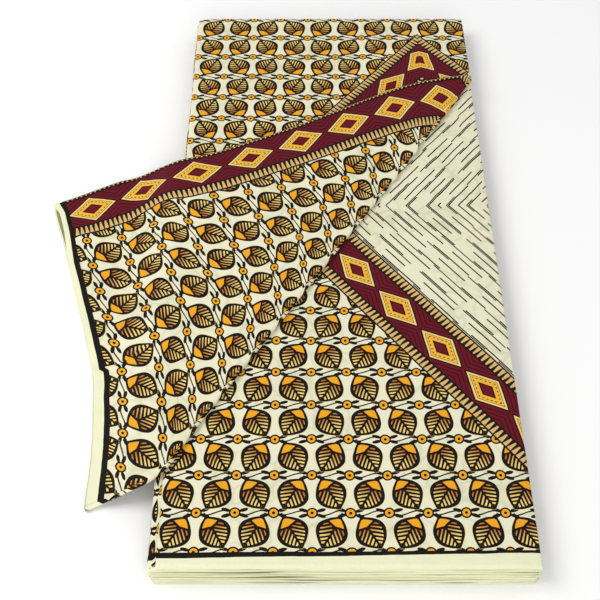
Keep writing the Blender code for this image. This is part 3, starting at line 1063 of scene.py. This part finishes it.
def scallop(v):
    """How far the nose stands out in lobes."""
    lobe = abs(math.sin(math.pi * v / LOBE + LOBE_UNEVEN * math.sin(v * LOBE_TURNS))) ** LOBE_SHARP
    return (LOBE_DEEP * (lobe - LOBE_LEVEL) * smooth((v - LOBES_FROM[0]) / LOBES_FROM[1])
            * smooth((LOBES_TO[0] - v) / LOBES_TO[1]))


def lip_and_nose(v):
    """Points and maps from the end of the lip to the top of the fold."""
    edge, way = fold.at(v)
    inward = Vector((-way.y, way.x))
    foot = rest_height(edge + inward * NOSE)
    low, high = foot - LIP_DROP + LIP_LIFT, foot + DOUBLE - COTTON / 2
    middle, half = (low + high) / 2, (high - low) / 2
    bend = math.pi * (NOSE + half) / 2
    start = corner_map(0.0, v)
    narrow = v < LIP_START or v > 1 - LIP_END
    points = []
    for k in range(LIP_STEPS):
        d = LIP + LIP_TAIL - (LIP + LIP_TAIL - NOSE) * k / LIP_STEPS
        d = min(d, lip_width(v) + LIP_SPARE) if narrow else d
        p = edge + inward * d
        points.append(((p.x, p.y, rest_height(p) - LIP_DROP + LIP_LIFT),
                       start + fold_normal * (bend + d - NOSE)))
    for k in range(NOSE_STEPS):
        angle = -math.pi / 2 + math.pi * k / NOSE_STEPS
        p = edge + inward * (NOSE * (1 - math.cos(angle)) - scallop(v) * math.cos(angle))
        points.append(((p.x, p.y, middle + half * math.sin(angle)),
                       start + fold_normal * bend * (1 - k / NOSE_STEPS)))
    return points


print("row starts with", LIP_STEPS, "points of lip and", NOSE_STEPS, "of nose")

# %% [markdown]
# The row goes on over the top of the corner. Close to the selvedge the double
# cloth is thinner, a small pleat takes some of it up, and at the upper left
# the two layers part, so that the lower one shows as a second strip.

# %% Top of the corner
STEPS = 96
PARTED, PARTED_REACH = 0.0034, 0.02
PARTED_FROM, PARTED_TO = (0.76, 0.14), (1.004, 0.05)
THIN, THIN_PARTED, THIN_REACH = 0.55, 0.75, 0.010
FLUTTER, FLUTTER_TURNS, FLUTTER_REACH = 0.0003, 38.0, 0.012
PLEAT_AT, PLEAT_HIGH, PLEAT_WIDE, PLEAT_REACH = 0.382, 0.0013, 0.012, 0.016
PLEAT_DEEP, PLEAT_EDGE, PLEAT_FADE = 0.0032, 0.003, 0.030
TURNED_IN = 0.0028


def top_of_corner(v):
    """Points and maps from the diagonal to the upper edge."""
    run = v * TIP.y
    points = []
    for k in range(STEPS + 1):
        u = k / STEPS
        way = selvedge.at(u)[1]
        parted = smooth((u - PARTED_FROM[0]) / PARTED_FROM[1])
        ends = smooth((PARTED_TO[0] - u) / PARTED_TO[1])
        inward = Vector((way.y, -way.x)) * PARTED * parted * ends * math.exp(-run / PARTED_REACH)
        p = corner_place(u, v, NOSE) + inward
        thin = (1.0 - (THIN - THIN_PARTED * parted) * math.exp(-run / THIN_REACH)) * DOUBLE
        lift = FLUTTER * math.sin(FLUTTER_TURNS * u) * math.exp(-run / FLUTTER_REACH)
        lift += (PLEAT_HIGH * math.exp(-((u - PLEAT_AT) / PLEAT_WIDE) ** 2)
                 * math.exp(-run / PLEAT_REACH))
        pleat = smooth((PLEAT_AT + PLEAT_EDGE - u) / (2 * PLEAT_EDGE))
        taken = PLEAT_DEEP * pleat * math.exp(-run / PLEAT_FADE)
        points.append(((p.x, p.y, rest_height(p) + thin - COTTON / 2 + lift),
                       corner_map(u, v) + Vector((0.0, TURNED_IN - taken))))
    return points


print("then", STEPS + 1, "points over the top")

# %% [markdown]
# At the upper edge the cloth rolls under in half a circle and comes back as
# the lining, close to what lies beneath. The lining's map is the top's own,
# mirrored at the upper edge. Where the layers part, its first few millimetres
# show from above: the bare strip, and behind it a painted shade for the shade
# between the layers.

# %% Roll and lining
ROLL_STEPS, BACK_STEPS, BACK_SHARE = 8, 40, 0.96
SKIN_GAP = 0.00005
LINING_INSET = NOSE + 0.001
LINING_OUT, LINING_REACH = 0.0012, 0.012
LINING_FROM, LINING_TO = (0.84, 0.10), (1.004, 0.03)
STRIP_SHOWS = 0.009
# Painted shade: map values below 0 colour the lining's strip as the shade between the layers.
STRIP_RUN, STRIP_MAP = (0.0, 0.0035, 0.0070), (0.0038, -0.0060, -0.0020)
edge_way = (TIP - FAR_CORNER).normalized()
edge_normal = Vector((edge_way.y, -edge_way.x))
ROLL_ARC = math.pi * BULGE


def rolled_edge(v, top):
    """Points and maps round the upper edge, from the height of the last top point."""
    end, way = upper.at(v)
    inward = Vector((way.y, -way.x))
    low = rest_height(end + inward * BULGE) + COTTON / 2 + SKIN_GAP
    points = []
    for k in range(1, ROLL_STEPS):
        angle = math.pi / 2 - math.pi * k / ROLL_STEPS
        p = end + inward * BULGE * (1 - math.cos(angle))
        points.append(((p.x, p.y, (top + low) / 2 + (top - low) / 2 * math.sin(angle)),
                       corner_map(1.0, v) + edge_normal * ROLL_ARC * k / ROLL_STEPS))
    return points


def lining(v):
    """Points and maps beneath the corner, back from the upper edge."""
    run = v * TIP.y
    edge_map = corner_map(1.0, v)
    points = []
    for k in range(BACK_STEPS + 1):
        u = 1.0 - BACK_SHARE * k / BACK_STEPS
        way = selvedge.at(u)[1]
        stand = (LINING_OUT * math.exp(-run / LINING_REACH)
                 * smooth((u - LINING_FROM[0]) / LINING_FROM[1])
                 * smooth((LINING_TO[0] - u) / LINING_TO[1]))
        p = corner_place(u, v, LINING_INSET) + Vector((-way.y, way.x)) * stand
        flat = corner_map(u, v)
        across = (flat - edge_map).dot(edge_normal)
        flat = flat - edge_normal * across * 2 + edge_normal * ROLL_ARC
        if run < STRIP_SHOWS:
            flat.y = float(np.interp(run, STRIP_RUN, STRIP_MAP))
        points.append(((p.x, p.y, rest_height(p) + COTTON / 2 + SKIN_GAP), flat))
    return points


print("lining goes back over", round(BACK_SHARE * 100), "percent of the corner")

# %% [markdown]
# Two hundred such rows, from the selvedge to the tip, make one continuous
# sheet, so the print runs unbroken from the lip to the lining.

# %% Corner sheet
ROWS = 200
corner_grid, corner_maps = [], []
for i in range(ROWS + 1):
    v = i / ROWS
    row = lip_and_nose(v) + top_of_corner(v)
    row += rolled_edge(v, row[-1][0][2])
    row += lining(v)
    corner_grid.append([place for place, _ in row])
    corner_maps.append([(flat.x, flat.y) for _, flat in row])

corner_paint = printed_cotton("corner_print", shift=(0.233, -0.108))
corner = cloth("corner_sheet", corner_grid, corner_maps, corner_paint)
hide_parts("turned_corner")

# %% [markdown]
# The flat part of the top layer starts beside the lip and covers the stack's
# far left part. It is a lying sheet like the first one. The first points of
# the diagonal lie beyond the stack, so they are left out. The far fold slackens
# at the left end, which gives the stack's far corner its small slant.

# %% Upper sheet
UPPER_Z = 0.0217
UPPER_EDGES = (-0.1358, 0.1322, -0.2874, 0.2922)
UPPER_STEPS = (70, 90)
SLACK_WIDE, SLACK_DEEP = 0.0095, 0.0036
SLOPE, LIP_CLEAR = 1.866, 0.001
FLAT_FROM = 80
line_x = [p.x for p in fold.points[FLAT_FROM:]]
line_y = [p.y for p in fold.points[FLAT_FROM:]]


def lip_line(x):
    """Where the flat part starts; slope turns the lip's width into a length along y."""
    return float(np.interp(x, line_x, line_y)) + (LIP + LIP_CLEAR) * SLOPE


def slack_line(x):
    """Where the far fold lies."""
    return UPPER_EDGES[3] - SLACK_DEEP * max(0.0, 1.0 - (x - UPPER_EDGES[0]) / SLACK_WIDE)


upper_paint = printed_cotton("upper_print", shift=(0.215, 0.0))
top = lying_sheet("upper_sheet", UPPER_EDGES, UPPER_Z, lip_line, slack_line, UPPER_STEPS, upper_paint)
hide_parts("upper_panel")

# %% [markdown]
# The stack's shell stands for the skin round the hidden layers, top and
# underside together. All four pieces of cloth are now made.

# %% The pieces of cloth
print("pieces", [item.name for item in (stack, under, corner, top)])
